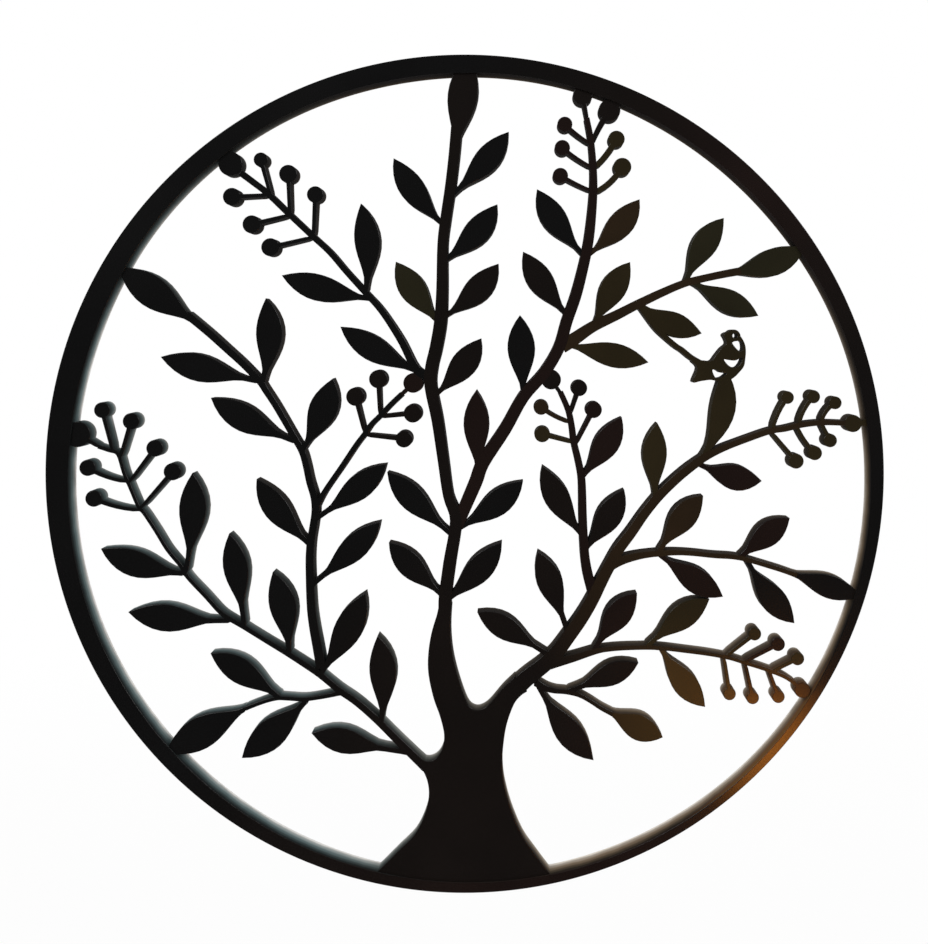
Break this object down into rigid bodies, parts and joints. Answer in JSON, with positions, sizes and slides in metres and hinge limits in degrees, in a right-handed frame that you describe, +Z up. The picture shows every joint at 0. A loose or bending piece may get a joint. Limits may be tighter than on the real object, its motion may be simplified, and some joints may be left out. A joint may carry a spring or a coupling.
{
  "type": "tree of life wall plaque",
  "caption": "Round wall plaque: a flat cut-out tree with leaves, berries and a perched bird inside a plain rim, with a hanging eye and rubber wall pads behind.",
  "frame": {"origin": "centre of the rim's outer circle, half way through the whole depth with the hanger and the wall pads", "axes": "+Z up as it hangs, +Y from the front towards the wall, +X to the right as seen from the front"},
  "size_m": [0.3, 0.0116, 0.3],
  "materials": {
    "satin_black": "satin black paint, worn thin towards the back edges",
    "zinc_steel": "zinc plated",
    "pad_rubber": "matte"
  },
  "bodies": {
    "root": {"rim": "satin_black", "trunk": "satin_black", "centre_stem": "satin_black", "crown_stem": "satin_black", "upper_left_branch": "satin_black", "upper_right_branch": "satin_black", "bird_twig": "satin_black", "right_bough": "satin_black", "right_upright": "satin_black", "right_branch": "satin_black", "lower_right_branch": "satin_black", "low_right_twig": "satin_black", "left_bough": "satin_black", "left_upright": "satin_black", "lower_left_branch": "satin_black", "berry_twig": "satin_black", "top_leaf": "satin_black", "centre_stem_leaves": "satin_black", "fork_leaves": "satin_black", "crown_leaves": "satin_black", "upper_left_leaves": "satin_black", "upper_right_leaves": "satin_black", "right_bough_leaves": "satin_black", "right_upright_leaves": "satin_black", "right_branch_leaves": "satin_black", "lower_right_leaves": "satin_black", "low_right_leaves": "satin_black", "left_bough_leaves": "satin_black", "left_upright_leaves": "satin_black", "lower_left_leaves": "satin_black", "upper_left_berries": "satin_black", "crown_berries": "satin_black", "right_berries": "satin_black", "lower_right_berries": "satin_black", "left_berries": "satin_black", "berry_twig_berries": "satin_black", "right_upright_berries": "satin_black", "bird": "satin_black", "hanger_plate": "zinc_steel", "hanger_spacers": "zinc_steel", "hanger_screws": "zinc_steel", "wall_pads": "pad_rubber"}
  },
  "joints": []
}
